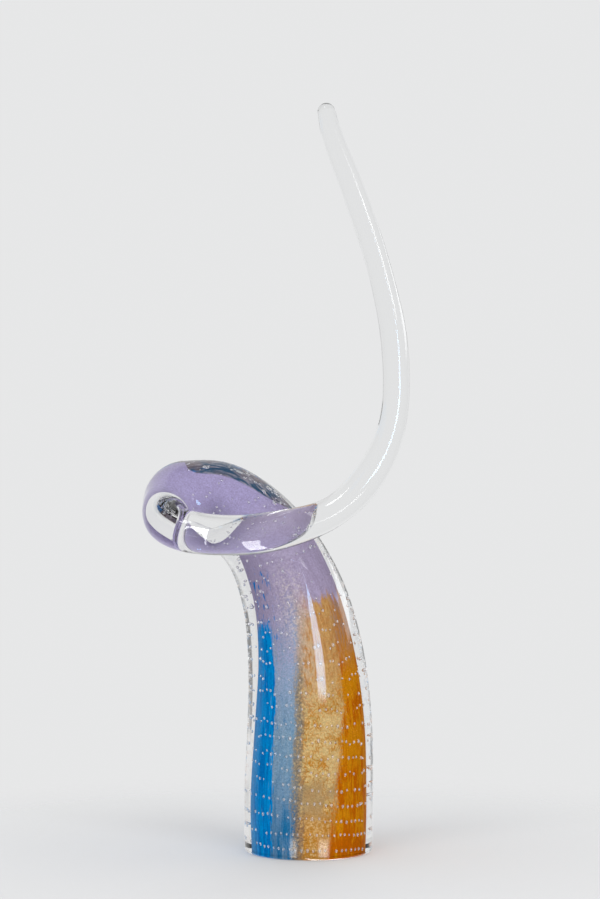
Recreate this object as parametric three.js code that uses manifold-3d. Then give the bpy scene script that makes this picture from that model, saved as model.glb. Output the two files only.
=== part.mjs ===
// Abstract art-glass sculpture: a column of layered glass that leans over into a rounded head, drawn out into a
// clear tail that curls back in front of the column and sweeps up to a tip. Millimetres, +Z up, the front is -Y.
// The origin is the centre of the ground base.
import * as THREE from "three";
import { mergeVertices } from "three/addons/utils/BufferGeometryUtils.js";
import Module from "manifold-3d";

const wasm = await Module();
wasm.setup();

// Outer radii of the body, from the base to the end of the head
const baseRadius = 47.6;
const bellyRadius = 48.3;
const columnRadius = 46.8;
const waistRadius = 43.5;
const neckRadius = 38.7;
const shoulderRadius = 33.3;
const crownRadius = 31.9;
const headRadius = 33.9;
const footRounding = 2.4;

// Radii of the tail, from its root in the head to its tip
const tailRootRadius = 17.5;
const tailThroatRadius = 16.3;
const tailNeckRadius = 15.5;
const tailRadius = 14.7;
const tailSweepRadius = 11.6;
const tailStemRadius = 10.0;
const tailUpperRadius = 9.0;
const tailTipRadius = 6.6;

// Layers inside the body: the clear wall over the colours, how far the core lies above the crown's centre line,
// and how far it runs on past the middle of the head
const clearWall = 19.5;
const neckWall = 18;
const shoulderWall = 15.5;
const crownWall = 17.2;
const headWall = 14.8;
const coreLift = 10;
const coreReach = 4;
const colourThickness = 1.4;
const fusionGap = 0.3;
const colourBandLength = 184;

// How high the middle of the head stands, and how far it leans out to the left and lies back
const headHeight = 258.8;
const headReach = 90.8;
const headSetBack = 3;

// How far the tail sweeps out to the right of the middle of the head, and how high its tip rises above it
const tailReach = 153.6;
const tailRise = 290.4;

// Clear space between the shoulder and the tail where the tail crosses in front of it
const crossingClearance = 19.5;

// Where one colour meets the next, in degrees round the column from its front towards its right side
const blueEdge = -56.25;
const creamEdge = -11.25;
const amberEdge = 45;
const backEdge = 180;

// How finely the round shapes are cut
const bodySides = 40;
const coreSides = 32;
const tailSides = 18;
const bodySteps = 28;
const bandSteps = 10;
const lilacSteps = 10;
const tailSteps = 52;
const domeSteps = 5;
const footSteps = 3;

// The body's centre line, from the base up the column and over the shoulder to the middle of the head.
// Each place is in percent of the head's reach, set-back and height, and each lift in percent of the core's lift.
const headCentre = new THREE.Vector3(-headReach, headSetBack, headHeight);
const bodyStations = [
  { place: [0, 0, 0], radius: baseRadius, wall: clearWall, lift: 0 },
  { place: [0, 0, 15.5], radius: bellyRadius, wall: clearWall, lift: 0 },
  { place: [-1, 0, 36.7], radius: columnRadius, wall: clearWall, lift: 0 },
  { place: [2.4, 0, 56.8], radius: waistRadius, wall: clearWall, lift: 4 },
  { place: [13.7, 0, 74.9], radius: neckRadius, wall: neckWall, lift: 11 },
  { place: [38.2, 17, 91.1], radius: shoulderRadius, wall: shoulderWall, lift: 32 },
  { place: [74.7, 50, 100.6], radius: crownRadius, wall: crownWall, lift: 100 },
  { place: [100, 100, 100], radius: headRadius, wall: headWall, lift: 70 },
].map(({ place, ...sizes }) => ({
  at: new THREE.Vector3(...place).multiplyScalar(0.01).multiply(headCentre),
  ...sizes,
}));

// The tail's centre line, from inside the head to the tip. Its run across the front keeps clear of the shoulder.
// Each place is in percent of the tail's reach, of that run's depth and of the tail's rise, from the head's middle.
const runDepth = headSetBack + shoulderRadius + tailRadius + crossingClearance;
const tailExtent = new THREE.Vector3(tailReach, -runDepth, tailRise);
const tailStations = [
  { place: [-5, 11.9, 1.1], radius: tailRootRadius },
  { place: [-10.5, 44, -0.6], radius: tailThroatRadius },
  { place: [-7.9, 75.2, -4.1], radius: tailNeckRadius },
  { place: [3.1, 93.6, -6.1], radius: tailNeckRadius },
  { place: [21.9, 99, -6.9], radius: tailRadius },
  { place: [40.7, 100, -6.1], radius: tailRadius },
  { place: [70.2, 98.2, -1.2], radius: tailSweepRadius },
  { place: [88.5, 91.7, 8.4], radius: tailSweepRadius },
  { place: [98.9, 82.6, 21], radius: tailStemRadius },
  { place: [100, 73.4, 40.3], radius: tailStemRadius },
  { place: [92.6, 66, 60.3], radius: tailUpperRadius },
  { place: [80.5, 60.6, 79.8], radius: tailUpperRadius },
  { place: [69.4, 56.9, 95.3], radius: (tailUpperRadius + tailTipRadius) / 2 },
  { place: [67.6, 55, 100], radius: tailTipRadius },
].map(({ place, radius }) => ({
  at: new THREE.Vector3(...place).multiplyScalar(0.01).multiply(tailExtent).add(headCentre),
  radius,
}));

// A centre line with the radius that goes with each place along it
function makeRoute(stations) {
  const curve = new THREE.CatmullRomCurve3(stations.map(({ at }) => at), false, "centripetal");
  curve.arcLengthDivisions = 600;
  const length = curve.getLength();
  const radii = new THREE.SplineCurve(stations.map(({ radius }, i) => new THREE.Vector2(i, radius)));
  const radiusAt = (distance) => {
    const share = THREE.MathUtils.clamp(distance / length, 0, 1);
    return radii.getPoint(curve.getUtoTmapping(share)).y;
  };
  return { curve, length, radiusAt };
}

// The plane across a route at a distance along it, with its sideways axis level with the object's side.
// Past either end the line runs on straight.
function planeAcross({ curve, length }, distance) {
  const share = THREE.MathUtils.clamp(distance / length, 0, 1);
  const forward = curve.getTangentAt(share);
  const side = new THREE.Vector3(0, 1, 0).cross(forward).normalize();
  const back = forward.clone().cross(side);
  const centre = curve.getPointAt(share).addScaledVector(forward, distance - share * length);
  return { centre, side, back };
}

const body = makeRoute(bodyStations);
const tail = makeRoute(tailStations);

// The casing's bore runs up the body's centre line, and lies on the outside of the bend in the head
const bore = makeRoute(
  bodyStations.map(({ at, radius, wall, lift }, i) => {
    const outwards = new THREE.Vector3(0, 1, 0).cross(body.curve.getTangent(i / (bodyStations.length - 1)));
    return {
      at: at.clone().addScaledVector(outwards.normalize(), (coreLift * lift) / 100),
      radius: radius - wall,
    };
  }),
);

// A plane moved along its own normal
function movedPlane({ centre, side, back }, distance) {
  const forward = side.clone().cross(back);
  return { centre: centre.clone().addScaledVector(forward, distance), side, back };
}

// A point of a section's outline, at an angle from the front towards the right
function polar(radius, degrees) {
  const angle = THREE.MathUtils.degToRad(degrees);
  return new THREE.Vector2(radius * Math.sin(angle), -radius * Math.cos(angle));
}

function circleOutline(radius, sides) {
  return Array.from({ length: sides }, (_, i) => polar(radius, (360 * i) / sides - 180));
}

// The outline of a curved strip of colour, with half of the fusion gap left free at each side
function stripOutline(outer, inner, startAngle, endAngle) {
  const margin = THREE.MathUtils.radToDeg(fusionGap / 2 / inner);
  const from = startAngle + margin;
  const to = endAngle - margin;
  const count = Math.max(1, Math.round(((endAngle - startAngle) * coreSides) / 360));
  const gridAngle = (i) => startAngle + ((endAngle - startAngle) * i) / count;
  const angles = Array.from({ length: count + 1 }, (_, i) => THREE.MathUtils.clamp(gridAngle(i), from, to));
  const outerArc = angles.map((angle) => polar(outer, angle));
  const innerArc = angles.map((angle) => polar(inner, angle)).reverse();
  return [...outerArc, ...innerArc];
}

// Joins sections, each an outline in its own plane, into one closed skin with flat ends
function loft(sections) {
  const sides = sections[0].outline.length;
  const positions = sections.flatMap(({ plane, outline }) =>
    outline.flatMap(({ x, y }) =>
      plane.centre.clone().addScaledVector(plane.side, x).addScaledVector(plane.back, y).toArray(),
    ),
  );
  const indices = [];
  for (let i = 0; i + 1 < sections.length; i += 1) {
    for (let j = 0; j < sides; j += 1) {
      const here = i * sides + j;
      const next = i * sides + ((j + 1) % sides);
      indices.push(here, next, next + sides, here, next + sides, here + sides);
    }
  }
  const top = (sections.length - 1) * sides;
  for (const [a, b, c] of THREE.ShapeUtils.triangulateShape(sections[0].outline, [])) {
    indices.push(a, c, b);
  }
  for (const [a, b, c] of THREE.ShapeUtils.triangulateShape(sections.at(-1).outline, [])) {
    indices.push(top + a, top + b, top + c);
  }
  const geometry = new THREE.BufferGeometry();
  geometry.setAttribute("position", new THREE.Float32BufferAttribute(positions, 3));
  geometry.setIndex(indices);
  return geometry;
}

// The sections that round off a tube's end, past its last plane
function domeSections(plane, radius, sides) {
  const lastAngle = THREE.MathUtils.degToRad(85);
  return Array.from({ length: domeSteps }, (_, i) => {
    const angle = (lastAngle * (i + 1)) / domeSteps;
    return {
      plane: movedPlane(plane, radius * Math.sin(angle)),
      outline: circleOutline(radius * Math.cos(angle), sides),
    };
  });
}

// Distances from one place along the body to another
function spread(start, end, steps) {
  return Array.from({ length: steps + 1 }, (_, i) => start + ((end - start) * i) / steps);
}

// The outside of the body: a rounded foot, the column and the domed head, grown outwards by an allowance
function bodyOutside(allowance) {
  const foot = Array.from({ length: footSteps }, (_, i) => {
    const angle = (Math.PI / 2) * (i / footSteps);
    return {
      plane: planeAcross(body, footRounding * (1 - Math.cos(angle))),
      outline: circleOutline(baseRadius - footRounding * (1 - Math.sin(angle)) + allowance, bodySides),
    };
  });
  const column = spread(footRounding, body.length, bodySteps).map((distance) => ({
    plane: planeAcross(body, distance),
    outline: circleOutline(body.radiusAt(distance) + allowance, bodySides),
  }));
  const dome = domeSections(planeAcross(body, body.length), headRadius + allowance, bodySides);
  return loft([...foot, ...column, ...dome]);
}

// The places along the bore where the layers inside it have their sections
const bandPlaces = spread(0, colourBandLength, bandSteps);
const coreEnd = bore.length + coreReach;
const lilacPlaces = spread(colourBandLength, coreEnd, lilacSteps);

// A round layer inside the body, smaller than the casing's bore by an inset
function layer(places, inset) {
  const tube = places.map((distance) => ({
    plane: planeAcross(bore, distance),
    outline: circleOutline(bore.radiusAt(distance) - inset, coreSides),
  }));
  const end = bore.radiusAt(coreEnd) - inset;
  const dome = domeSections(planeAcross(bore, coreEnd), end, coreSides);
  return loft([...tube, ...dome]);
}

const colourOuterInset = fusionGap;
const colourInnerInset = colourOuterInset + colourThickness;
const gatherInset = colourInnerInset + fusionGap;

function solidOf(geometry) {
  const merged = mergeVertices(geometry, 1e-4);
  return new wasm.Manifold(
    new wasm.Mesh({
      numProp: 3,
      vertProperties: new Float32Array(merged.attributes.position.array),
      triVerts: new Uint32Array(merged.index.array),
    }),
  );
}

function geometryOf(solid) {
  const { vertProperties, triVerts, numProp } = solid.getMesh();
  const geometry = new THREE.BufferGeometry();
  geometry.setAttribute("position", new THREE.BufferAttribute(vertProperties, numProp));
  geometry.setIndex(new THREE.BufferAttribute(triVerts, 1));
  geometry.computeVertexNormals();
  return geometry;
}

// The thick clear outer gather, bored from the base up for the coloured core
function clearCasing() {
  const boreStart = -footRounding;
  const hollow = layer([boreStart, ...bandPlaces, ...lilacPlaces.slice(1)], 0);
  return geometryOf(solidOf(bodyOutside(0)).subtract(solidOf(hollow)));
}

// The first gather, on which the colours lie
function innerGather() {
  return layer([...bandPlaces, ...lilacPlaces.slice(1)], gatherInset);
}

// The lilac overlay: a closed cup over the upper part of the first gather
function lilacOverlay() {
  const seam = colourBandLength + fusionGap / 2;
  const places = [seam, ...lilacPlaces.slice(1)];
  const below = colourBandLength - colourThickness;
  const outside = solidOf(layer(places, colourOuterInset));
  const inside = solidOf(layer([below, ...places], colourInnerInset));
  return geometryOf(outside.subtract(inside));
}

// A strip of colour up the column, between two angles
function colourBand(startAngle, endAngle) {
  const seam = colourBandLength - fusionGap / 2;
  const places = [...bandPlaces.slice(0, -1), seam];
  return loft(
    places.map((distance) => {
      const radius = bore.radiusAt(distance);
      const outline = stripOutline(radius - colourOuterInset, radius - colourInnerInset, startAngle, endAngle);
      return { plane: planeAcross(bore, distance), outline };
    }),
  );
}

// The clear tail, whose root is shaped to the outside of the head that it is fused to
function drawnTail() {
  const { tangents, normals } = tail.curve.computeFrenetFrames(tailSteps, false);
  const planes = tangents.map((forward, i) => ({
    centre: tail.curve.getPointAt(i / tailSteps),
    side: normals[i],
    back: forward.clone().cross(normals[i]),
  }));
  const tube = planes.map((plane, i) => ({
    plane,
    outline: circleOutline(tail.radiusAt((tail.length * i) / tailSteps), tailSides),
  }));
  const tip = domeSections(planes.at(-1), tailTipRadius, tailSides);
  return geometryOf(solidOf(loft([...tube, ...tip])).subtract(solidOf(bodyOutside(fusionGap))));
}

const clearGlass = { color: 0xe9eef0, roughness: 0.03, metalness: 0, transparent: true, opacity: 0.35 };
const opalGlass = { color: 0xe6dcd0, roughness: 0.25, metalness: 0 };
const lilacGlass = { color: 0xa08fb8, roughness: 0.25, metalness: 0 };
const blueGlass = { color: 0x1569b4, roughness: 0.25, metalness: 0 };
const steelBlueGlass = { color: 0x7f9bb8, roughness: 0.25, metalness: 0 };
const creamGlass = { color: 0xc9a878, roughness: 0.25, metalness: 0 };
const amberGlass = { color: 0xc47a1a, roughness: 0.25, metalness: 0 };

const sculpture = new THREE.Group();

function addPiece(name, geometry, finish) {
  geometry.computeVertexNormals();
  const mesh = new THREE.Mesh(geometry, new THREE.MeshStandardMaterial(finish));
  mesh.name = name;
  sculpture.add(mesh);
}

addPiece("inner_gather", innerGather(), opalGlass);
addPiece("blue_band", colourBand(backEdge - 360, blueEdge), blueGlass);
addPiece("steel_blue_band", colourBand(blueEdge, creamEdge), steelBlueGlass);
addPiece("cream_band", colourBand(creamEdge, amberEdge), creamGlass);
addPiece("amber_band", colourBand(amberEdge, backEdge), amberGlass);
addPiece("lilac_overlay", lilacOverlay(), lilacGlass);
addPiece("clear_casing", clearCasing(), clearGlass);
addPiece("drawn_tail", drawnTail(), clearGlass);

export default sculpture;
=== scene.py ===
import math

import bpy
import numpy as np
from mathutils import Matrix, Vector


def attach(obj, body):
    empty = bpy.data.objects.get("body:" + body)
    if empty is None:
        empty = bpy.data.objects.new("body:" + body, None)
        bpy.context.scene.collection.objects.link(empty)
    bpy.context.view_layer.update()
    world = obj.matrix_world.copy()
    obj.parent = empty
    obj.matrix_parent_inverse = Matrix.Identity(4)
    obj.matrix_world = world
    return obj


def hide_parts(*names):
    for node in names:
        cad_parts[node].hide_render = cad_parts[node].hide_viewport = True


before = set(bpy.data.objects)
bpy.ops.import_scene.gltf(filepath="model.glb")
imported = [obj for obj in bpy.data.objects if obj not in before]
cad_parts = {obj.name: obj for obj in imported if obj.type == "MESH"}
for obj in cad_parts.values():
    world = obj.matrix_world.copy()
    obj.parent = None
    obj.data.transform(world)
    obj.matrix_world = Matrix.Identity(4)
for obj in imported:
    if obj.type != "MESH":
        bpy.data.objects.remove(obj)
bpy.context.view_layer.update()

# The glass is given in mm, and the room around it in metres
MM = 0.001

# The body: places along its centre line, with the outer radius at each, the clear wall over the colours, and
# how far the coloured core lies towards the outside of the bend
UNDER_BASE = -60.0
BODY = [
    ((0, 0, UNDER_BASE), 45.5, 19.5, 0),
    ((0, 0, 0), 47.6, 19.5, 0),
    ((0, 0, 40.1), 48.3, 19.5, 0),
    ((0.9, 0, 95), 46.8, 19.5, 0),
    ((-2.2, 0, 147), 43.5, 19.5, 0.4),
    ((-12.4, 0, 193.8), 38.7, 18, 1.1),
    ((-34.7, 0.5, 235.8), 33.3, 15.5, 3.2),
    ((-67.8, 1.5, 260.4), 31.9, 17.2, 10.0),
    ((-90.8, 3, 258.8), 33.9, 14.8, 7.0),
]
CORE_REACH = 4.0        # how far the core runs on past the middle of the head

# The tail, from inside the head to its tip: places along its centre line, with the radius at each
TAIL = [
    ((-98.5, -5.4, 262.0), 17.4),
    ((-106.9, -28.0, 257.1), 16.2),
    ((-102.9, -50.0, 246.9), 15.4),
    ((-86.0, -63.0, 241.1), 15.4),
    ((-57.2, -66.8, 238.8), 14.6),
    ((-28.3, -67.5, 241.1), 14.6),
    ((17.0, -66.2, 255.3), 11.5),
    ((45.1, -61.6, 283.2), 11.5),
    ((61.1, -55.2, 319.8), 9.9),
    ((62.8, -48.7, 375.8), 9.9),
    ((51.4, -43.5, 433.9), 8.9),
    ((32.8, -39.7, 490.5), 8.9),
    ((15.8, -37.1, 535.6), 7.7),
    ((13.0, -35.8, 549.2), 6.5),
]

FOOT_ROUNDING = 2.4
# How softly the tail's root flows out of the head: at distances along the tail, the size of the blend
ROOT_BLEND = [(0, 12), (20, 20), (50, 32), (80, 22), (115, 0)]
LEAST_BLEND = 0.6
SWELL_FROM = -115.0     # left of here, head and tail would swell each other
SWELL_IN = 0.006        # how far the glass is drawn in there, times the square of the distance

CURVE_STEPS = 80        # points from one place of a centre line to the next, before they are spaced evenly
SAMPLE = 1.0            # between the samples of a centre line
SOFTENING = 6.0         # over which a centre line is evened out
LEAST_CROWDING = 0.2    # how close together the samples' planes may come inside a bend
POINTS_AT_ONCE = 20000
UPRIGHT = 100           # up to this height the core stands nearly straight


def catmull_rom(values, knots):
    """Points of a Catmull-Rom curve through rows of values, with its own knot spacing between them."""
    padded = np.vstack([2 * values[0] - values[1], values, 2 * values[-1] - values[-2]])
    spans = np.concatenate([knots[:1], knots, knots[-1:]])
    t = np.linspace(0, 1, CURVE_STEPS, endpoint=False)[:, None]
    rows = []
    for i in range(len(values) - 1):
        before, here, after, beyond = padded[i:i + 4]
        span_before, span, span_after = spans[i:i + 3]
        slope = (after - here) / span
        leave = (here - before) / span_before - (after - before) / (span_before + span) + slope
        arrive = slope - (beyond - here) / (span + span_after) + (beyond - after) / span_after
        rows.append(
            (2 * t**3 - 3 * t**2 + 1) * here
            + (t**3 - 2 * t**2 + t) * leave * span
            + (3 * t**2 - 2 * t**3) * after
            + (t**3 - t**2) * arrive * span
        )
    return np.vstack([*rows, values[-1]])


def soften(values):
    """Rows evened out along their length by a bell-shaped window, with both ends kept."""
    reach = int(3 * SOFTENING / SAMPLE)
    offsets = np.arange(-reach, reach + 1) * SAMPLE
    window = np.exp(-0.5 * (offsets / SOFTENING) ** 2)
    window /= window.sum()
    before = 2 * values[0] - values[reach:0:-1]
    after = 2 * values[-1] - values[-2:-reach - 2:-1]
    padded = np.vstack([before, values, after])
    return np.column_stack([np.convolve(column, window, "valid") for column in padded.T])


class Route:
    """A centre line, sampled evenly, with its direction, bend and radius."""

    def __init__(self, stations):
        places = np.array([place for place, _ in stations], float)
        radii = np.array([[radius] for _, radius in stations], float)
        spans = np.sqrt(np.linalg.norm(np.diff(places, axis=0), axis=1))
        line = catmull_rom(places, spans)
        radius = catmull_rom(radii, np.ones(len(spans)))[:, 0]
        along = np.concatenate([[0], np.cumsum(np.linalg.norm(np.diff(line, axis=0), axis=1))])
        count = int(round(along[-1] / SAMPLE)) + 1
        even = np.linspace(0, along[-1], count)
        columns = [np.interp(even, along, axis) for axis in line.T]
        columns.append(np.interp(even, along, radius))
        rows = soften(np.column_stack(columns))
        self.centre = rows[:, :3]
        self.radius = rows[:, 3]
        self.step = along[-1] / (count - 1)
        self.along = np.arange(count) * self.step
        self.length = along[-1]
        self.direction = np.gradient(self.centre, self.step, axis=0)
        self.direction /= np.linalg.norm(self.direction, axis=1)[:, None]
        self.bend = np.gradient(self.direction, self.step, axis=0)
        self.slope = np.gradient(self.radius, self.step)

    def nearest_samples(self, points):
        """For each point, the sample of the centre line that is nearest to it."""
        index = np.empty(len(points), int)
        for start in range(0, len(points), POINTS_AT_ONCE):
            some = points[start:start + POINTS_AT_ONCE]
            gaps = (self.centre**2).sum(1) - 2 * some @ self.centre.T
            index[start:start + POINTS_AT_ONCE] = gaps.argmin(1)
        return index

    def foot(self, points, index):
        """The place on the centre line nearest to each point, the radius there, and how far along it is.

        index holds each point's nearest sample."""
        offset = points - self.centre[index]
        crowding = np.maximum(1 - (offset * self.bend[index]).sum(1), LEAST_CROWDING)
        lead = (offset * self.direction[index]).sum(1) / crowding
        back = np.minimum(self.along[index], 2 * self.step)
        ahead = np.minimum(self.length - self.along[index], 2 * self.step)
        lead = np.clip(lead, -back, ahead)
        straight = self.centre[index] + self.direction[index] * lead[:, None]
        foot = straight + 0.5 * self.bend[index] * (lead**2)[:, None]
        return foot, self.radius[index] + self.slope[index] * lead, self.along[index] + lead

    def at(self, along):
        """Centre, direction and radius at distances along the line."""
        centre = np.column_stack([np.interp(along, self.along, axis) for axis in self.centre.T])
        direction = np.column_stack([np.interp(along, self.along, axis) for axis in self.direction.T])
        direction /= np.linalg.norm(direction, axis=1)[:, None]
        return centre, direction, np.interp(along, self.along, self.radius)


def core_stations():
    """The coloured core's centre line and radius, worked out from the body's."""
    stations = []
    for place, radius, wall, lift in BODY:
        nearest = body.nearest_samples(np.array([place], float))
        outwards = np.cross([0, 1, 0], body.direction[nearest[0]])
        outwards /= np.linalg.norm(outwards)
        stations.append((tuple(place + lift * outwards), radius - wall))
    return stations


def distance_at_height(route, height):
    """The distance along a route at which its first, upright stretch reaches a height."""
    upright = route.centre[:, 2] < UPRIGHT
    return float(np.interp(height, route.centre[upright, 2], route.along[upright]))


body = Route([(place, radius) for place, radius, _, _ in BODY])
tail = Route(TAIL)
core = Route(core_stations())
core_foot = distance_at_height(core, 0)


def outside(points, on_body, on_tail):
    """Signed distance from the sculpture's outer surface: below zero inside the glass.

    on_body and on_tail are the samples of the centre lines nearest to the points. Where the body and the
    tail meet, a soft minimum of the two distances lets one flow into the other."""
    past_left = np.maximum(SWELL_FROM - points[:, 0], 0)
    points = points.copy()
    points[:, 0] -= SWELL_IN * past_left**2
    foot, radius, _ = body.foot(points, on_body)
    to_body = np.linalg.norm(points - foot, axis=1) - radius
    foot, radius, along = tail.foot(points, on_tail)
    to_tail = np.linalg.norm(points - foot, axis=1) - radius
    blend = LEAST_BLEND + np.interp(along, *zip(*ROOT_BLEND))
    near = np.maximum(blend - np.abs(to_body - to_tail), 0) / blend
    glass = np.minimum(to_body, to_tail) - near**3 * blend / 6
    across = glass + FOOT_ROUNDING
    under = FOOT_ROUNDING - points[:, 2]
    corner = np.hypot(np.maximum(across, 0), np.maximum(under, 0))
    return np.minimum(np.maximum(across, under), 0) + corner - FOOT_ROUNDING


def slope_outside(points, on_body, on_tail):
    """The direction in which the distance from the surface grows, and how fast."""
    small = 0.02
    columns = []
    for axis in np.eye(3) * small:
        ahead = outside(points + axis, on_body, on_tail)
        behind = outside(points - axis, on_body, on_tail)
        columns.append((ahead - behind) / (2 * small))
    return np.column_stack(columns)


def section_axes(direction):
    """For directions along the body, the unit vectors to its right and its back."""
    side = np.cross([0, 1, 0], direction)
    side /= np.linalg.norm(side, axis=1)[:, None]
    return side, np.cross(direction, side)


DOME_RINGS = 9
DOME_END = math.radians(86)


def ring_faces(rings, sides):
    """Faces that join a stack of rings of vertices into a closed solid."""
    faces = [tuple(range(sides))[::-1], tuple(range((rings - 1) * sides, rings * sides))]
    for ring in range(rings - 1):
        for i in range(sides):
            here = ring * sides + i
            there = ring * sides + (i + 1) % sides
            faces.append((here, there, there + sides, here + sides))
    return faces


def tube(route, spacing, sides):
    """Vertices and faces of a closed tube along a route, with round ends."""
    count = max(2, int(route.length / spacing))
    centre, direction, radius = route.at(np.linspace(0, route.length, count))
    dome = np.linspace(0, DOME_END, DOME_RINGS)[1:]
    first = [(centre[0] - direction[0] * radius[0] * math.sin(a), direction[0], radius[0] * math.cos(a))
             for a in dome[::-1]]
    last = [(centre[-1] + direction[-1] * radius[-1] * math.sin(a), direction[-1], radius[-1] * math.cos(a))
            for a in dome]
    rings = first + list(zip(centre, direction, radius)) + last
    turn = np.linspace(0, 2 * math.pi, sides, endpoint=False)
    vertices = []
    side = np.cross([0, 1, 0], rings[0][1])
    if np.linalg.norm(side) < 0.2:
        side = np.cross([0, 0, 1], rings[0][1])
    for middle, forward, size in rings:
        side = side - forward * side.dot(forward)
        side /= np.linalg.norm(side)
        back = np.cross(forward, side)
        vertices.append(middle + size * (np.cos(turn)[:, None] * side + np.sin(turn)[:, None] * back))
    return np.vstack(vertices), ring_faces(len(rings), sides)


def mesh_object(name, vertices, faces):
    """An object in the scene from vertices in mm."""
    mesh = bpy.data.meshes.new(name)
    mesh.from_pydata((np.asarray(vertices) * MM).tolist(), [], faces)
    mesh.validate()
    made = bpy.data.objects.new(name, mesh)
    bpy.context.scene.collection.objects.link(made)
    return made


def vertices_of(mesh):
    """A mesh's vertices, in mm."""
    flat = np.empty(len(mesh.vertices) * 3)
    mesh.vertices.foreach_get("co", flat)
    return flat.reshape(-1, 3) / MM


def set_vertices(mesh, points):
    """Moves a mesh's vertices to points in mm."""
    mesh.vertices.foreach_set("co", (points * MM).ravel())
    mesh.update()


VOXEL = 1.5
BODY_MESHING = (3, 96)  # between the rings of the rough body, and how many sides it has
TAIL_MESHING = (2, 48)
EVENING = (0.5, 0.5, 0.5, 0.3, 0.3, 0, 0)  # how far each pass evens the vertices out before they settle


def glass_body():
    """The clear outside of column, head and tail as one flowing surface."""
    rough = mesh_object("rough", *tube(body, *BODY_MESHING))
    more = mesh_object("more", *tube(tail, *TAIL_MESHING))
    join = rough.modifiers.new("join", "BOOLEAN")
    join.operation = "UNION"
    join.solver = "EXACT"
    join.object = more
    remesh = rough.modifiers.new("remesh", "REMESH")
    remesh.mode = "VOXEL"
    remesh.voxel_size = VOXEL * MM
    graph = bpy.context.evaluated_depsgraph_get()
    mesh = bpy.data.meshes.new_from_object(rough.evaluated_get(graph))
    mesh.name = "glass_body"
    bpy.data.objects.remove(rough)
    bpy.data.objects.remove(more)
    made = bpy.data.objects.new("glass_body", mesh)
    bpy.context.scene.collection.objects.link(made)
    squeeze_up_to_base(mesh)
    settle(mesh)
    return made


def squeeze_up_to_base(mesh):
    """Lifts the part of the rough mesh that lies below the base up to the base's plane."""
    points = vertices_of(mesh)
    points[:, 2] = np.maximum(points[:, 2], 0)
    set_vertices(mesh, points)


def settle(mesh):
    """Moves the vertices evenly onto the sculpture's outer surface, and gives them its exact normals."""
    points = vertices_of(mesh)
    edges = np.empty(len(mesh.edges) * 2, int)
    mesh.edges.foreach_get("vertices", edges)
    edges = edges.reshape(-1, 2)
    degree = np.bincount(edges.ravel(), minlength=len(points))[:, None]
    for evening in EVENING:
        total = np.column_stack([
            np.bincount(edges[:, 0], points[edges[:, 1], axis], len(points))
            + np.bincount(edges[:, 1], points[edges[:, 0], axis], len(points)) for axis in range(3)])
        points += evening * (total / degree - points)
        samples = body.nearest_samples(points), tail.nearest_samples(points)
        slope = slope_outside(points, *samples)
        size = np.maximum((slope**2).sum(1), 0.25)
        points -= slope * (outside(points, *samples) / size)[:, None]
    normals = slope_outside(points, body.nearest_samples(points), tail.nearest_samples(points))
    normals /= np.linalg.norm(normals, axis=1)[:, None]
    set_vertices(mesh, points)
    mesh.shade_smooth()
    mesh.normals_split_custom_set_from_vertices(normals.tolist())


CORE_SIDES = 160
CORE_SPACING = 1.6
CORE_DOME_RINGS = 22
LEAST_SPREAD = 6        # the radius that the colours never fall below at the core's end
STRAIGHT = "straight"


def core_rings():
    """The core's rings of vertices, and the same rings as if it stood straight.

    It is a tube along its own centre line with a rounded end inside the head."""
    count = int((core.length - core_foot) / CORE_SPACING)
    along = np.linspace(core_foot, core.length + CORE_REACH, count)
    centre, direction, radius = core.at(along)
    centre += direction * np.maximum(along - core.length, 0)[:, None]
    dome = np.linspace(0, math.pi / 2, CORE_DOME_RINGS)[1:]
    end_radius = radius[-1]
    centre = np.vstack([centre, centre[-1] + direction[-1] * end_radius * np.sin(dome)[:, None]])
    direction = np.vstack([direction, np.repeat(direction[-1:], len(dome), axis=0)])
    along = np.concatenate([along, along[-1] + end_radius * dome]) - core_foot
    radius = np.concatenate([radius, end_radius * np.cos(dome)])
    side, back = section_axes(direction)
    turn = np.linspace(-math.pi, math.pi, CORE_SIDES, endpoint=False)
    rings = (centre[:, None] + radius[:, None, None] * (
        np.sin(turn)[None, :, None] * side[:, None] - np.cos(turn)[None, :, None] * back[:, None]))
    rings[0, :, 2] = 0
    spread = np.maximum(radius, LEAST_SPREAD)
    straight = np.stack([
        spread[:, None] * np.sin(turn), -spread[:, None] * np.cos(turn),
        np.repeat(along[:, None], CORE_SIDES, axis=1)], axis=2)
    return rings, straight


def colour_core():
    """The coloured core. Its points keep their place on the straight core, for the colours to follow."""
    rings, straight = core_rings()
    made = mesh_object("colour_core", rings.reshape(-1, 3), ring_faces(len(rings), CORE_SIDES))
    attribute = made.data.attributes.new(STRAIGHT, "FLOAT_VECTOR", "POINT")
    attribute.data.foreach_set("vector", (straight.reshape(-1, 3) * MM).ravel())
    made.data.shade_smooth()
    return made


ROW_PITCH = 11.4
FIRST_ROW = 6
BUBBLES_AROUND = 50
ROW_TILT = 2.5          # by which each row hangs lower on the right
KEPT_AT_BACK = 0.55     # of the bubbles that the front would have
BUBBLE_CLEARANCE = 3.6  # from the colours to the middle of a bubble
BUBBLE_WIDTH = 1.7
BUBBLE_LENGTH = 2.5
BUBBLE_SIDES = 10
BUBBLE_RINGS = 6
SPARKLES = 130          # loose bubbles over the painted shade on the crown
SPARKLE_SPAN = (236, 312)   # where they lie along the core
SPARKLE_TURN = (48, 150)    # and round it, in degrees from the front


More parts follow.
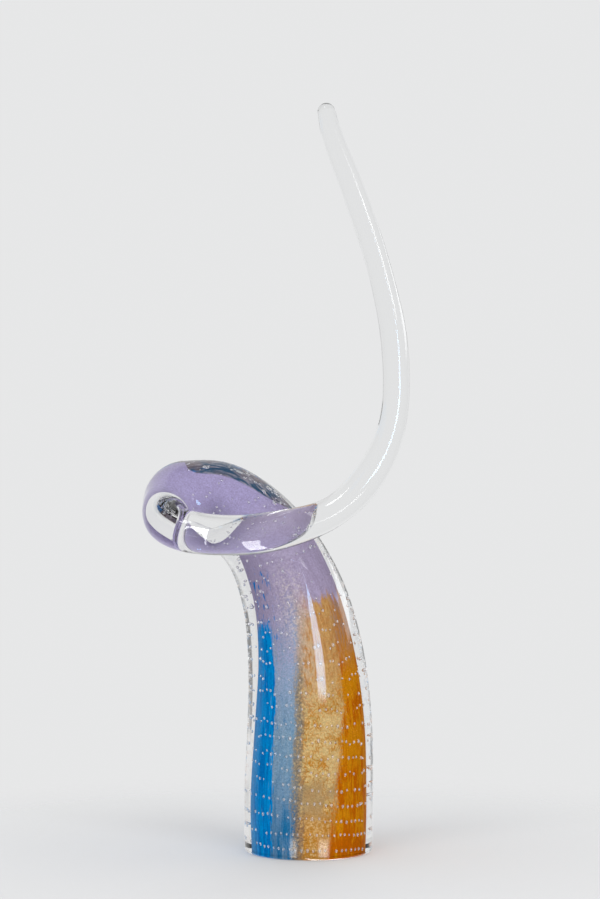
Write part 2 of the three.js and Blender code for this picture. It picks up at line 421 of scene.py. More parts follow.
def bubble_shape(sides, rings):
    """A small closed ball of radius 1, as vertices and faces."""
    vertices = [(0, 0, -1)]
    for ring in range(1, rings):
        polar = math.pi * ring / rings
        width = math.sin(polar)
        for i in range(sides):
            turn = 2 * math.pi * i / sides
            vertices.append((width * math.cos(turn), width * math.sin(turn), -math.cos(polar)))
    vertices.append((0, 0, 1))
    faces = [(0, 1 + (i + 1) % sides, 1 + i) for i in range(sides)]
    for ring in range(rings - 2):
        for i in range(sides):
            here, there = 1 + ring * sides + i, 1 + ring * sides + (i + 1) % sides
            faces.append((here, there, there + sides, here + sides))
    last = len(vertices) - 1
    first = last - sides
    faces += [(last, first + i, first + (i + 1) % sides) for i in range(sides)]
    return np.array(vertices), faces


def bubble_places(chance):
    """Each bubble's distance along the core, angle from the front, and size.

    First come the rows round the core, sparser and looser with their height, and then the loose bubbles."""
    rows = int((core.length - core_foot + 10) / ROW_PITCH)
    for row in range(rows):
        share = row / rows
        along = FIRST_ROW + ROW_PITCH * row + chance.normal(0, 0.4)
        kept = 0.97 - 0.85 * share
        tilt = ROW_TILT + chance.normal(0, 0.4 + share)
        phase = chance.uniform(0, 1)
        for i in range(BUBBLES_AROUND):
            turn = 2 * math.pi * (i + phase + chance.normal(0, 0.05 + 0.15 * share)) / BUBBLES_AROUND
            if chance.random() > kept * (KEPT_AT_BACK if math.cos(turn) < 0.2 else 1):
                continue
            place = along + chance.normal(0, 0.25 + 2.6 * share)
            place += 0.8 * math.sin(2 * turn + row) - tilt * math.sin(turn)
            yield place, turn, chance.lognormal(0, 0.12 + 0.14 * share) * (1 - 0.3 * share)
    for _ in range(SPARKLES):
        place = chance.uniform(*SPARKLE_SPAN)
        turn = math.radians(chance.uniform(*SPARKLE_TURN))
        yield place, turn, chance.lognormal(0.1, 0.4)


def bubbles():
    """The air bubbles in the clear glass just outside the colour."""
    chance = np.random.default_rng(7)
    shape, shape_faces = bubble_shape(BUBBLE_SIDES, BUBBLE_RINGS)
    vertices, faces = [], []
    for place, turn, size in bubble_places(chance):
        centre, direction, radius = core.at(np.array([core_foot + place]))
        side, back = section_axes(direction)
        outward = math.sin(turn) * side[0] - math.cos(turn) * back[0]
        round_about = np.cross(direction[0], outward)
        reach = radius[0] + BUBBLE_CLEARANCE + chance.normal(0, 0.5)
        middle = centre[0] + outward * reach
        widths = outward * BUBBLE_WIDTH, round_about * BUBBLE_WIDTH, direction[0] * BUBBLE_LENGTH
        axes = np.array(widths) * size / 2
        start = len(vertices) * len(shape)
        vertices.append(middle + shape @ axes)
        faces += [tuple(start + v for v in face) for face in shape_faces]
    made = mesh_object("air_bubbles", np.vstack(vertices), faces)
    made.data.shade_smooth()
    return made


class Nodes:
    """The node tree of a material or of the world, with short ways to add and join nodes."""

    def __init__(self, owner):
        owner.use_nodes = True
        self.owner = owner
        self.tree = owner.node_tree
        self.tree.nodes.clear()

    def add(self, kind, **settings):
        node = self.tree.nodes.new(kind)
        for key, value in settings.items():
            setattr(node, key, value)
        return node

    def put(self, socket, value):
        """Sets a socket to a number or a colour, or joins an output to it."""
        if isinstance(value, bpy.types.NodeSocket):
            self.tree.links.new(value, socket)
        else:
            socket.default_value = value

    def math(self, operation, *values):
        node = self.add("ShaderNodeMath", operation=operation)
        for socket, value in zip(node.inputs, values):
            self.put(socket, value)
        return node.outputs[0]

    def product(self, first, *others):
        for other in others:
            first = self.math("MULTIPLY", first, other)
        return first

    def sway(self, noise, amount):
        """A noise turned into a swing of up to half the amount either way."""
        return self.math("MULTIPLY_ADD", noise, amount, -amount / 2)

    def noise(self, vector, scale, detail=2.0, roughness=0.5):
        node = self.add("ShaderNodeTexNoise")
        self.put(node.inputs["Vector"], vector)
        node.inputs["Scale"].default_value = scale
        node.inputs["Detail"].default_value = detail
        node.inputs["Roughness"].default_value = roughness
        return node.outputs["Fac"]

    def stretched(self, vector, scale):
        node = self.add("ShaderNodeVectorMath", operation="MULTIPLY")
        self.put(node.inputs[0], vector)
        node.inputs[1].default_value = scale
        return node.outputs[0]

    def parts(self, vector):
        node = self.add("ShaderNodeSeparateXYZ")
        self.put(node.inputs[0], vector)
        return node.outputs

    def steps(self, value, stops):
        """A number that follows straight lines between stops of place and height."""
        node = self.add("ShaderNodeValToRGB")
        self.put(node.inputs[0], value)
        elements = node.color_ramp.elements
        while len(elements) < len(stops):
            elements.new(0.5)
        for element, (place, height) in zip(elements, stops):
            element.position = place
            element.color = (height, height, height, 1)
        return node.outputs["Color"]

    def span(self, value, low, high, to_low=0.0, to_high=1.0):
        """A value carried smoothly from one range to another."""
        node = self.add("ShaderNodeMapRange", interpolation_type="SMOOTHSTEP")
        for socket, number in zip(node.inputs[:5], (value, low, high, to_low, to_high)):
            self.put(socket, number)
        return node.outputs[0]

    def mix(self, share, first, second, blend="MIX"):
        node = self.add("ShaderNodeMix", data_type="RGBA", blend_type=blend)
        self.put(node.inputs[0], share)
        self.put(node.inputs[6], first if isinstance(first, bpy.types.NodeSocket) else (*first, 1))
        self.put(node.inputs[7], second if isinstance(second, bpy.types.NodeSocket) else (*second, 1))
        return node.outputs[2]

    def between(self, share, first, second):
        """A number between two others."""
        node = self.add("ShaderNodeMix", data_type="FLOAT")
        for socket, value in zip((node.inputs[0], node.inputs[2], node.inputs[3]), (share, first, second)):
            self.put(socket, value)
        return node.outputs[0]

    def mix_shaders(self, share, first, second):
        node = self.add("ShaderNodeMixShader")
        for socket, value in zip(node.inputs, (share, first, second)):
            self.put(socket, value)
        return node.outputs[0]

    def finish(self, shader, kind="ShaderNodeOutputMaterial"):
        output = self.add(kind)
        self.put(output.inputs["Surface"], shader)
        return self.owner


GLASS_IOR = 1.5
AIR_IN_GLASS = 1 / GLASS_IOR
CLEAR_TINT = (0.985, 0.988, 0.988, 1)
SHADOW_LIGHT = (0.93, 0.93, 0.94, 1)
# A white matt share in each bubble's skin: painted highlight, standing in for the lamps' glints on the
# bubbles
BUBBLE_PAINTED_HIGHLIGHT = (0.85, 0.86, 0.87, 1)
PAINTED_HIGHLIGHT_SHARE = 0.13


def lit_through(nodes, shader):
    """The shader, except that rays towards a lamp pass straight through."""
    path = nodes.add("ShaderNodeLightPath")
    open_way = nodes.add("ShaderNodeBsdfTransparent")
    open_way.inputs[0].default_value = SHADOW_LIGHT
    return nodes.mix_shaders(path.outputs["Is Shadow Ray"], shader, open_way.outputs[0])


def clear_glass():
    """Clear glass that lets the lamps reach what is inside it."""
    nodes = Nodes(bpy.data.materials.new("clear_glass"))
    glass = nodes.add("ShaderNodeBsdfPrincipled")
    glass.inputs["Base Color"].default_value = CLEAR_TINT
    glass.inputs["Roughness"].default_value = 0.0
    glass.inputs["IOR"].default_value = GLASS_IOR
    glass.inputs["Transmission Weight"].default_value = 1.0
    return nodes.finish(lit_through(nodes, glass.outputs[0]))


def bubble_glass():
    """The skin of an air bubble inside glass, with a white matt share mixed in as a painted highlight."""
    nodes = Nodes(bpy.data.materials.new("air_bubble"))
    glass = nodes.add("ShaderNodeBsdfGlass")
    glass.inputs["Color"].default_value = (1, 1, 1, 1)
    glass.inputs["Roughness"].default_value = 0.0
    glass.inputs["IOR"].default_value = AIR_IN_GLASS
    painted_highlight = nodes.add("ShaderNodeBsdfDiffuse")
    painted_highlight.inputs["Color"].default_value = BUBBLE_PAINTED_HIGHLIGHT
    highlighted_skin = nodes.mix_shaders(PAINTED_HIGHLIGHT_SHARE, glass.outputs[0], painted_highlight.outputs[0])
    return nodes.finish(lit_through(nodes, highlighted_skin))


BLUE = (0.000, 0.320, 0.780)
DEEP_BLUE = (0.000, 0.205, 0.610)
PALE_BLUE = (0.230, 0.450, 0.720)
STEEL = (0.190, 0.345, 0.510)
DEEP_STEEL = (0.005, 0.165, 0.390)
PALE_STEEL = (0.300, 0.435, 0.570)
PERIWINKLE = (0.350, 0.445, 0.630)
SMOKE = (0.225, 0.185, 0.140)
DARK_SMOKE = (0.140, 0.130, 0.130)
PALE_SMOKE = (0.400, 0.340, 0.250)
CREAM = (0.620, 0.405, 0.135)
PALE_CREAM = (0.740, 0.545, 0.250)
TAN = (0.560, 0.215, 0.014)
DUN = (0.460, 0.310, 0.150)
RUST = (0.510, 0.225, 0.070)
AMBER = (0.680, 0.262, 0.004)
DEEP_AMBER = (0.560, 0.135, 0.001)
HONEY = (0.720, 0.360, 0.070)
ROSE_TAN = (0.420, 0.245, 0.160)
ROSY_TAN = (0.620, 0.355, 0.130)
PALE_ROSE = (0.640, 0.480, 0.350)
LILAC = (0.425, 0.360, 0.525)
PALE_LILAC = (0.430, 0.375, 0.610)
WARM_GRAIN = (0.640, 0.575, 0.550)
SHADE_NAVY = (0.045, 0.100, 0.180)
SHADE_UMBER = (0.200, 0.160, 0.180)
SHADE_ASH = (0.350, 0.330, 0.390)

# Where the colours meet, in degrees from the front towards the right, and how soft each edge is
BLUE_TO_STEEL = (-53, 1.6)
STEEL_TO_SMOKE = (-22, 5)
SMOKE_TO_CREAM = (-11, 8)
CREAM_TO_AMBER = (40, 5)
AMBER_TO_BLUE = (174, 3)
# The lilac's lower edge at angles from the front: its height up the core, and its softness
LILAC_START = [(-60, 176), (-45, 160), (-20, 160), (0, 180), (35, 184)]
LILAC_SOFTNESS = [(-60, 5), (-45, 40), (-20, 40), (10, 18), (35, 3)]
# The painted shade on the crown, a dark patch for the colours seen in shade there: heights up the core, with
# the angle from the front of its edge at each
SHADE_PATCH_LOW = 220
SHADE_PATCH_HIGH = 320
SHADE_PATCH_EDGE = [
    (240, 110), (255, 67), (266, 51), (279, 39), (289, 34), (299, 35), (306, 42), (311, 56), (314, 92),
]
FULL_TURN = 360


def turn_share(degrees):
    """An angle from the front towards the right, as a share of a full turn that starts at the back."""
    return 0.5 + degrees / FULL_TURN


class CoreTexture:
    """The places and noises that the core's colours share."""

    def __init__(self, nodes):
        self.nodes = nodes
        place = nodes.add("ShaderNodeAttribute", attribute_name=STRAIGHT).outputs["Vector"]
        across, depth, self.height = nodes.parts(place)
        angle = nodes.math("ARCTAN2", across, nodes.math("MULTIPLY", depth, -1.0))
        self.turn = nodes.math("MULTIPLY_ADD", angle, 1 / (2 * math.pi), 0.5)
        here = nodes.add("ShaderNodeTexCoord").outputs["Object"]
        self.streaks = nodes.noise(nodes.stretched(place, (1, 1, 0.05)), 420, detail=4, roughness=0.6)
        self.scratches = nodes.noise(nodes.stretched(place, (1, 1, 0.03)), 900, detail=2)
        self.feathers = nodes.noise(nodes.stretched(place, (1, 1, 0.12)), 260, detail=4, roughness=0.65)
        self.clouds = nodes.noise(nodes.stretched(place, (1, 1, 0.5)), 75, detail=3)
        self.drift = nodes.noise(nodes.stretched(place, (0.3, 0.3, 1)), 14)
        self.patches = nodes.noise(here, 55, detail=2)
        self.grains = nodes.noise(here, 620, detail=6, roughness=0.75)
        self.flecks = nodes.noise(nodes.stretched(place, (1, 1, 0.22)), 600, detail=3)
        crackle = nodes.noise(nodes.stretched(here, (1, 1, 0.7)), 330, detail=5, roughness=0.62)
        from_vein = nodes.math("ABSOLUTE", nodes.math("SUBTRACT", crackle, 0.5))
        self.veins = nodes.span(from_vein, 0.015, 0.055, 1.0, 0.0)
        self.powder = nodes.noise(here, 1500, detail=2)
        self.wandering = nodes.math("ADD", self.turn, nodes.sway(self.drift, 0.05))
        self.ragged = nodes.math("ADD", self.wandering, nodes.sway(self.feathers, 0.07))
        self.grainy = nodes.math("ADD", self.ragged, nodes.sway(self.grains, 0.10))

    def past(self, place, degrees, softness):
        """One where the colours are past an angle, with an edge that follows the given place."""
        edge = turn_share(degrees)
        half = softness / FULL_TURN
        return self.nodes.span(place, edge - half, edge + half)

    def short_of(self, place, degrees, softness):
        """One where the colours are short of an angle."""
        return self.nodes.math("SUBTRACT", 1.0, self.past(place, degrees, softness))

    def above(self, low, high):
        """Zero below one height up the core in mm and one above another."""
        return self.nodes.span(self.height, low * MM, high * MM)

    def below(self, low, high):
        """One below one height up the core in mm and zero above another."""
        return self.nodes.span(self.height, low * MM, high * MM, 1.0, 0.0)

    def round_the_core(self, stops):
        """A length in mm that follows straight lines between stops of angle and length."""
        return self.nodes.steps(self.wandering, [(turn_share(turn), length * MM) for turn, length in stops])


def blue_part(nodes, texture):
    """Streaky blue, with worn pale scratches and a paler left rim."""
    mottled = nodes.math("ADD", texture.streaks, nodes.sway(texture.flecks, 0.35))
    colour = nodes.mix(nodes.span(mottled, 0.44, 0.62), BLUE, DEEP_BLUE)
    worn = nodes.product(nodes.span(texture.scratches, 0.58, 0.68), nodes.span(texture.flecks, 0.46, 0.60))
    colour = nodes.mix(nodes.product(worn, 0.55), colour, PALE_BLUE)
    rim = texture.short_of(texture.ragged, -86, 12)
    return nodes.mix(nodes.product(rim, 0.35), colour, PALE_BLUE)


def steel_part(nodes, texture):
    """Granular grey-blue, deeper near the foot and turning periwinkle higher up."""
    cloudy = nodes.math("ADD", texture.feathers, nodes.sway(texture.grains, 1.1))
    colour = nodes.mix(nodes.span(cloudy, 0.34, 0.64), STEEL, PALE_STEEL)
    low = nodes.product(texture.below(15, 75), nodes.span(texture.feathers, 0.35, 0.60, 1.0, 0.65))
    colour = nodes.mix(low, colour, DEEP_STEEL)
    colour = nodes.mix(nodes.product(nodes.span(texture.streaks, 0.52, 0.66), 0.6), colour, PALE_STEEL)
    specks = nodes.product(nodes.span(texture.flecks, 0.56, 0.66), nodes.span(texture.patches, 0.40, 0.60))
    colour = nodes.mix(nodes.product(specks, 0.55), colour, DEEP_STEEL)
    high = nodes.product(texture.above(85, 135), nodes.span(cloudy, 0.25, 0.60, 0.55, 0.95))
    return nodes.mix(high, colour, PERIWINKLE)


def smoke_part(nodes, texture):
    """A narrow band of smoky grains, darker near the foot and rosy higher up."""
    colour = nodes.mix(nodes.span(texture.grains, 0.42, 0.60), SMOKE, PALE_SMOKE)
    colour = nodes.mix(nodes.product(texture.below(25, 55), 0.55), colour, DARK_SMOKE)
    return nodes.mix(nodes.product(texture.above(125, 165), 0.75), colour, PALE_ROSE)


def cream_part(nodes, texture):
    """Granular cream with tan veins, a matt dun patch and a tan foot, turning rosy higher up."""
    grainy = nodes.math("ADD", texture.patches, nodes.sway(texture.grains, 0.7))
    colour = nodes.mix(nodes.span(grainy, 0.36, 0.60), CREAM, PALE_CREAM)
    veined = nodes.product(texture.veins, nodes.span(texture.patches, 0.66, 0.42, 0.35, 1.0))
    colour = nodes.mix(veined, colour, TAN)
    matt = nodes.product(texture.above(22, 34), texture.below(50, 66))
    matt = nodes.product(matt, nodes.span(texture.clouds, 0.40, 0.52), 0.8)
    colour = nodes.mix(matt, colour, DUN)
    foot = nodes.product(texture.below(24, 40), nodes.span(texture.grains, 0.66, 0.42))
    colour = nodes.mix(nodes.product(foot, 0.8), colour, TAN)
    rosy = nodes.mix(texture.past(texture.ragged, 12, 14), PALE_ROSE, ROSY_TAN)
    rusty = nodes.math("ADD", texture.flecks, nodes.sway(texture.grains, 0.7))
    rosy = nodes.mix(nodes.span(rusty, 0.46, 0.62), rosy, RUST)
    return nodes.mix(nodes.product(texture.above(95, 150), 0.85), colour, rosy)


def amber_part(nodes, texture):
    """Streaky amber, with honey grains higher up and a brown, rosy top."""
    mottled = nodes.math("ADD", texture.feathers, nodes.sway(texture.flecks, 0.4))
    mottled = nodes.math("ADD", mottled, nodes.sway(texture.patches, 0.5))
    deeper_low = nodes.span(texture.height, 30 * MM, 100 * MM, 0.05, -0.05)
    mottled = nodes.math("ADD", mottled, deeper_low)
    colour = nodes.mix(nodes.span(mottled, 0.42, 0.60), AMBER, DEEP_AMBER)
    colour = nodes.mix(nodes.product(nodes.span(texture.scratches, 0.56, 0.66), 0.5), colour, DEEP_AMBER)
    glints = nodes.product(nodes.span(texture.grains, 0.56, 0.66), texture.above(60, 100), 0.7)
    colour = nodes.mix(glints, colour, HONEY)
    browned = nodes.math("ADD", texture.height, nodes.sway(texture.grains, 50 * MM))
    brown = nodes.mix(nodes.span(texture.flecks, 0.42, 0.58), ROSE_TAN, RUST)
    return nodes.mix(nodes.span(browned, 128 * MM, 168 * MM), colour, brown)


def lilac_part(nodes, texture):
    """Brushed lilac, paler in the head, with warm grains on the neck's front and blue flecks at its left."""
    colour = nodes.mix(texture.above(225, 275), LILAC, PALE_LILAC)
    brushed = nodes.span(texture.streaks, 0.35, 0.65, 1.08, 0.92)
    brushed = nodes.between(texture.above(200, 235), brushed, 1.0)
    colour = nodes.mix(1.0, colour, brushed, blend="MULTIPLY")
    warm = nodes.product(
        nodes.span(texture.grains, 0.47, 0.60), texture.past(texture.ragged, -30, 16),
        texture.below(190, 235), texture.above(145, 170), texture.short_of(texture.ragged, 18, 16), 0.85)
    colour = nodes.mix(warm, colour, WARM_GRAIN)
    flecks = nodes.product(
        nodes.span(texture.flecks, 0.585, 0.625), texture.past(texture.wandering, -95, 10),
        texture.short_of(texture.wandering, -38, 12), texture.below(215, 228))
    return nodes.mix(flecks, colour, DEEP_BLUE)


def painted_shade_crown(nodes, texture, colour):
    """Painted shade: a dark, grainy patch of navy, umber and ash over the top of the head, for the column's
    colours seen in shade there.
    """
    span = SHADE_PATCH_HIGH - SHADE_PATCH_LOW
    place = nodes.math("DIVIDE", nodes.math("SUBTRACT", texture.height, SHADE_PATCH_LOW * MM), span * MM)
    stops = [((height - SHADE_PATCH_LOW) / span, turn_share(turn)) for height, turn in SHADE_PATCH_EDGE]
    grainy = nodes.math("ADD", texture.turn, nodes.sway(texture.grains, 0.02))
    past_edge = nodes.math("SUBTRACT", grainy, nodes.steps(place, stops))
    inside = nodes.product(
        nodes.span(past_edge, 0.0, 0.012),
        texture.above(205, 240), texture.short_of(texture.ragged, 165, 20))
    dark = nodes.mix(nodes.span(texture.patches, 0.42, 0.56), SHADE_UMBER, SHADE_NAVY)
    ashen = nodes.product(nodes.span(texture.flecks, 0.46, 0.62), nodes.span(texture.clouds, 0.62, 0.42))
    dark = nodes.mix(ashen, dark, SHADE_ASH)
    dark = nodes.mix(nodes.product(nodes.span(texture.clouds, 0.56, 0.64), 0.6), dark, DEEP_BLUE)
    return nodes.mix(inside, colour, dark)


def column_colours(nodes, texture):
    """The colours up the column, from blue at the left round to amber at the right and to blue again."""
    flaming = nodes.math("ADD", texture.ragged, nodes.sway(texture.flecks, 0.05))
    retreat = nodes.product(texture.above(110, 185), 0.038)
    retreating = nodes.math("SUBTRACT", texture.grainy, retreat)
    rise = nodes.math("SUBTRACT", texture.height, 70 * MM)
    slanting = nodes.math("MULTIPLY_ADD", rise, -0.5, texture.grainy)
    colour = blue_part(nodes, texture)
    colour = nodes.mix(texture.past(flaming, *BLUE_TO_STEEL), colour, steel_part(nodes, texture))
    colour = nodes.mix(texture.past(retreating, *STEEL_TO_SMOKE), colour, smoke_part(nodes, texture))
    colour = nodes.mix(texture.past(retreating, *SMOKE_TO_CREAM), colour, cream_part(nodes, texture))
    colour = nodes.mix(texture.past(slanting, *CREAM_TO_AMBER), colour, amber_part(nodes, texture))
    return nodes.mix(texture.past(texture.ragged, *AMBER_TO_BLUE), colour, BLUE)


def under_lilac(nodes, texture):
    """One where the lilac lies over the other colours, from its feathered and grainy lower edge up."""
    softness = texture.round_the_core(LILAC_SOFTNESS)
    over = nodes.math("SUBTRACT", texture.height, texture.round_the_core(LILAC_START))
    over = nodes.math("ADD", over, nodes.sway(texture.feathers, 35 * MM))
    over = nodes.math("ADD", over, nodes.product(nodes.sway(texture.grains, 3.0), softness))
    return nodes.span(nodes.math("DIVIDE", over, softness), -1.0, 1.0)


def core_colours():
    """Powdered and streaky colours laid on the core, lilac above them, and painted shade on the crown."""
    nodes = Nodes(bpy.data.materials.new("core_colours"))
    texture = CoreTexture(nodes)
    colour = column_colours(nodes, texture)
    colour = nodes.mix(under_lilac(nodes, texture), colour, lilac_part(nodes, texture))
    # Painted shade: a dark patch over the crown, for the colours seen in shade there
    colour = painted_shade_crown(nodes, texture, colour)
    powdered = nodes.product(
        nodes.span(texture.powder, 0.3, 0.7, 0.84, 1.16), nodes.span(texture.grains, 0.3, 0.7, 0.88, 1.10))
    shader = nodes.add("ShaderNodeBsdfPrincipled")
    nodes.put(shader.inputs["Base Color"], nodes.mix(1.0, colour, powdered, blend="MULTIPLY"))
    shader.inputs["Roughness"].default_value = 0.6
    shader.inputs["Specular IOR Level"].default_value = 0.0
    return nodes.finish(shader.outputs[0])


FLOOR_RADIUS = 0.45
FLOOR_SOLID = 0.12      # the radius up to which the floor doesn't fade
FLOOR_DROP = 0.3        # in mm, below the base
FLOOR_SIDES = 96
FLOOR_TONE = 0.75
FLOOR_COLOUR = (FLOOR_TONE, FLOOR_TONE * 1.005, FLOOR_TONE * 1.015, 1)

# How bright the parts of the room are, where 1 is white
WALL_TONE = 0.80
FILL_TONE = 0.70
FAR_SIDE_TONE = 0.02
CORNER_TONE = 0.03
CEILING_TONE = 0.10
UNDERSIDE_TONE = 0.06
SIDE_WINDOW_TONE = 2.4
HIGH_LAMP_TONE = 7.0
WINDOW_TONE = 8.5
LOW_SHINE_TONE = 11.0
TABLE_SHINE_TONE = 6.0
DAYLIGHT = (0.62, 1.0, 1.45)
PLAIN_LIGHT = (0.995, 1.0, 1.005)

# Where the parts of the room are, in degrees: azimuth from straight behind towards the right, and elevation
CEILING = (50, 64)          # where the wall turns into the ceiling
UNDERSIDE = (-38, -52)
FAR_SIDE = (30, 75)         # where, either way, the wall behind turns into the dim side
WINDOW_FOOT = 3.4
WINDOW_TOP = 31
WINDOW_AZIMUTH = 155
WINDOW_LEAN = -18           # from its foot to its top
WINDOW_WIDTH = (8.0, 0.5)   # either way from its middle, at its foot and at its top
SIDE_WINDOW = ((42, 80), (10.5, 17.5))
HIGH_LAMP = ((-146, -128), (48, 61))


def floor():
    """A pale floor whose far edge fades away into the pale surroundings."""
    turn = np.linspace(0, 2 * math.pi, FLOOR_SIDES, endpoint=False)
    radius = FLOOR_RADIUS / MM
    edge = np.column_stack([np.cos(turn) * radius, np.sin(turn) * radius, np.full(FLOOR_SIDES, -FLOOR_DROP)])
    made = mesh_object("floor", edge, [tuple(range(FLOOR_SIDES))])
    nodes = Nodes(bpy.data.materials.new("pale_floor"))
    where = nodes.add("ShaderNodeTexCoord").outputs["Object"]
    distance = nodes.add("ShaderNodeVectorMath", operation="LENGTH")
    nodes.put(distance.inputs[0], where)
    matt = nodes.add("ShaderNodeBsdfDiffuse")
    matt.inputs["Color"].default_value = FLOOR_COLOUR
    open_way = nodes.add("ShaderNodeBsdfTransparent")
    fade = nodes.span(distance.outputs["Value"], FLOOR_SOLID, FLOOR_RADIUS)
    shown = nodes.add("ShaderNodeEmission")
    shown.inputs["Strength"].default_value = FLOOR_TONE
    through = nodes.add("ShaderNodeLightPath").outputs["Is Transmission Ray"]
    tone = nodes.mix_shaders(through, matt.outputs[0], shown.outputs[0])
    made.data.materials.append(nodes.finish(nodes.mix_shaders(fade, tone, open_way.outputs[0])))
    made.visible_glossy = False


def strip(nodes, value, start, end, softness):
    """One between two values, falling softly to nothing past them."""
    rise = nodes.span(value, start - softness, start)
    fall = nodes.span(value, end, end + softness, 1.0, 0.0)
    return nodes.product(rise, fall)


def angle_strip(nodes, angle, start, end, softness):
    """One between two angles in degrees, falling softly to nothing past them."""
    return strip(nodes, angle, math.radians(start), math.radians(end), math.radians(softness))


def angle_span(nodes, angle, start, end, to_start=0.0, to_end=1.0):
    """A value that goes smoothly from one number to another between two angles in degrees."""
    return nodes.span(angle, math.radians(start), math.radians(end), to_start, to_end)


def tall_window(nodes, azimuth, elevation):
    """One inside a tall window at the front right, which narrows and leans outwards as it rises."""
    rise = nodes.math("DIVIDE", elevation, math.radians(WINDOW_TOP))
    leaning = nodes.math("MULTIPLY", rise, rise)
    middle = nodes.math("MULTIPLY_ADD", leaning, math.radians(WINDOW_LEAN), math.radians(WINDOW_AZIMUTH))
    width = nodes.span(rise, 0.26, 0.74, *(math.radians(width) for width in WINDOW_WIDTH))
    offset = nodes.math("ABSOLUTE", nodes.math("SUBTRACT", azimuth, middle))
    return nodes.product(
        nodes.span(nodes.math("DIVIDE", offset, width), 0.8, 1.2, 1.0, 0.0),
        angle_span(nodes, elevation, 17, 27, 1.0, 0.16),
        angle_strip(nodes, elevation, WINDOW_FOOT, WINDOW_TOP, 2.4))


def table_shine(nodes, azimuth, elevation):
    """One in two low, narrow places where the windows show in the table."""
    right = angle_strip(nodes, azimuth, 148, 157, 9)
    left = angle_strip(nodes, azimuth, -155, -149, 7)
    sideways = nodes.math("MAXIMUM", right, nodes.product(left, 0.8))
    return nodes.product(sideways, angle_strip(nodes, elevation, -16, -12.3, 0.9))


def box_of(nodes, azimuth, elevation, across, up):
    """One inside a patch of the room between two azimuths and two elevations."""
    return nodes.product(angle_strip(nodes, azimuth, *across, 2), angle_strip(nodes, elevation, *up, 2))


def seen_through(nodes, azimuth, elevation):
    """The room as it shows through the glass: pale, with a dark ceiling, underside and two corners."""
    right = angle_strip(nodes, azimuth, 63, 96, 5)
    left = angle_strip(nodes, azimuth, -96, -70, 4)
    low = angle_strip(nodes, elevation, -9.5, 0.5, 1.5)
    high = nodes.product(angle_strip(nodes, elevation, 2, 17, 3), 0.3)
    sideways = nodes.math("MAXIMUM", nodes.product(right, 0.9), left)
    corners = nodes.product(sideways, nodes.math("MAXIMUM", low, high))
    level = nodes.between(corners, WALL_TONE, CORNER_TONE)
    level = nodes.between(angle_span(nodes, elevation, *CEILING), level, CEILING_TONE)
    return nodes.between(angle_span(nodes, elevation, *UNDERSIDE), level, UNDERSIDE_TONE)


def low_shine(nodes, direction):
    """One in a slanting place below, where a window shows in the table."""
    x, y, z = direction
    slanting = nodes.math("MULTIPLY_ADD", y, -0.11, x)
    return nodes.product(strip(nodes, slanting, 0.010, 0.150, 0.010), nodes.span(z, -0.56, -0.62))


def seen_mirrored(nodes, direction, azimuth, elevation):
    """The room as the glass mirrors it: a pale wall behind, a dim side in front, windows and a high lamp."""
    far_side = angle_span(nodes, nodes.math("ABSOLUTE", azimuth), *FAR_SIDE)
    side_window = box_of(nodes, azimuth, elevation, *SIDE_WINDOW)
    high_lamp = box_of(nodes, azimuth, elevation, *HIGH_LAMP)
    level = nodes.between(far_side, WALL_TONE, FAR_SIDE_TONE)
    level = nodes.between(angle_span(nodes, elevation, *CEILING), level, CEILING_TONE)
    level = nodes.between(tall_window(nodes, azimuth, elevation), level, WINDOW_TONE)
    level = nodes.between(table_shine(nodes, azimuth, elevation), level, TABLE_SHINE_TONE)
    level = nodes.between(low_shine(nodes, direction), level, LOW_SHINE_TONE)
    level = nodes.between(side_window, level, SIDE_WINDOW_TONE)
    return nodes.between(high_lamp, level, HIGH_LAMP_TONE)


def surroundings():
    """A pale room that gives the object plain, even light, while the glass shows and mirrors its parts."""
    world = bpy.data.worlds.new("room")
    bpy.context.scene.world = world
    nodes = Nodes(world)
    direction = nodes.parts(nodes.add("ShaderNodeTexCoord").outputs["Generated"])
    x, y, z = direction
    azimuth = nodes.math("ARCTAN2", x, y)
    elevation = nodes.math("ARCSINE", z)
    path = nodes.add("ShaderNodeLightPath").outputs
    mirrored = seen_mirrored(nodes, direction, azimuth, elevation)
    level = nodes.between(path["Is Glossy Ray"], FILL_TONE, mirrored)
    level = nodes.between(path["Is Transmission Ray"], level, seen_through(nodes, azimuth, elevation))
    level = nodes.between(path["Is Camera Ray"], level, WALL_TONE)
    daylight = nodes.product(tall_window(nodes, azimuth, elevation), path["Is Glossy Ray"])
    background = nodes.add("ShaderNodeBackground")
    nodes.put(background.inputs["Strength"], level)
    nodes.put(background.inputs["Color"], nodes.mix(daylight, PLAIN_LIGHT, DAYLIGHT))
    nodes.finish(background.outputs[0], "ShaderNodeOutputWorld")


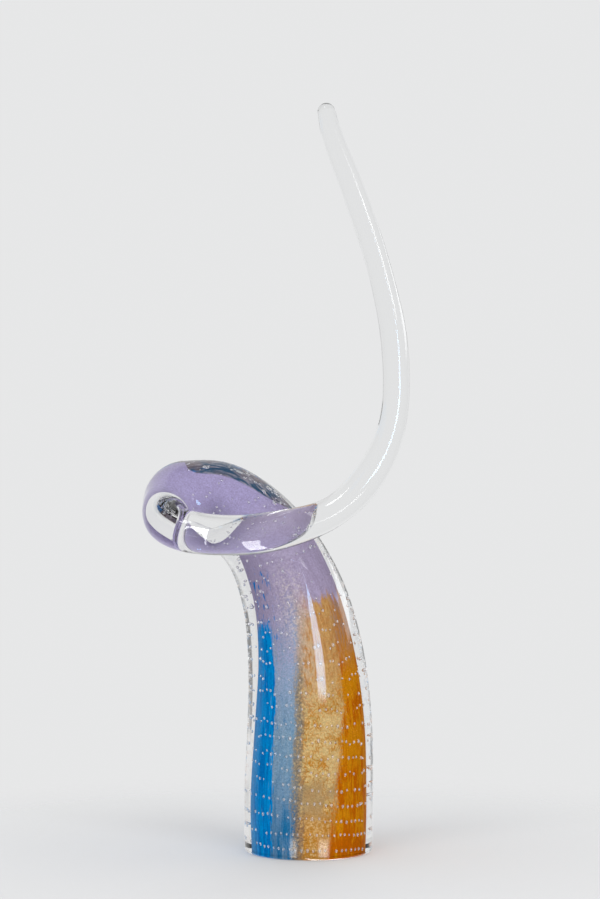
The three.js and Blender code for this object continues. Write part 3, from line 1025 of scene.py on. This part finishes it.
def softbox(name, place, size, power, aim=(0, 0, 0.2), mirrored=False):
    """An area lamp that lights the object without showing in the glass, or is only mirrored there."""
    light = bpy.data.lights.new(name, "AREA")
    light.shape = "RECTANGLE"
    light.size, light.size_y = size
    light.energy = power
    made = bpy.data.objects.new(name, light)
    made.location = place
    made.rotation_euler = Vector(np.subtract(aim, place)).to_track_quat("-Z", "Y").to_euler()
    made.visible_camera = False
    made.visible_transmission = False
    made.visible_diffuse = not mirrored
    made.visible_glossy = mirrored
    bpy.context.scene.collection.objects.link(made)
    return made


def lamps():
    """Soft, even light from three sides, and a small lamp that only the tail mirrors."""
    softbox("left_fill", (-1.5, -1.7, 1.0), (1.2, 1.2), 17)
    softbox("right_fill", (1.3, -1.8, 0.9), (1.2, 1.2), 22)
    softbox("back_fill", (0.3, 2.0, 1.3), (1.4, 1.0), 10)
    high = (0.70, -0.66, 0.90)
    tail_lamp = softbox("tail_lamp", high, (0.30, 0.34), 0.015, aim=(0.03, -0.038, 0.485), mirrored=True)
    tail_lamp.data.spread = math.radians(14)


CAMERA_PLACE = (-0.0064, -1.8375, 0.30075)
CAMERA_LENS = 98.1
SENSOR_WIDTH = 36


def camera():
    """A level camera in front, at about half the sculpture's height."""
    data = bpy.data.cameras.new("camera")
    data.lens = CAMERA_LENS
    data.sensor_width = SENSOR_WIDTH
    made = bpy.data.objects.new("camera", data)
    made.location = CAMERA_PLACE
    made.rotation_euler = (math.pi / 2, 0, 0)
    bpy.context.scene.collection.objects.link(made)
    bpy.context.scene.camera = made


def clear_outside():
    """The clear glass of the casing and the tail."""
    outer = glass_body()
    outer.data.materials.clear()
    outer.data.materials.append(clear_glass())
    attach(outer, "root")
    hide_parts("clear_casing", "drawn_tail")


def coloured_inside():
    """The core with all its colours."""
    coloured = colour_core()
    coloured.data.materials.append(core_colours())
    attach(coloured, "root")
    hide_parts("inner_gather", "blue_band", "steel_blue_band", "cream_band", "amber_band",
                "lilac_overlay")


def trapped_air():
    """The bubbles between the colours and the outside."""
    air = bubbles()
    air.data.materials.append(bubble_glass())
    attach(air, "root")


BOUNCES_IN_GLASS = 24


def main():
    scene = bpy.context.scene
    scene.view_settings.view_transform = "Standard"
    scene.cycles.max_bounces = BOUNCES_IN_GLASS
    scene.cycles.transmission_bounces = BOUNCES_IN_GLASS
    scene.cycles.transparent_max_bounces = 2 * BOUNCES_IN_GLASS
    camera()
    surroundings()
    floor()
    lamps()
    clear_outside()
    coloured_inside()
    trapped_air()


main()
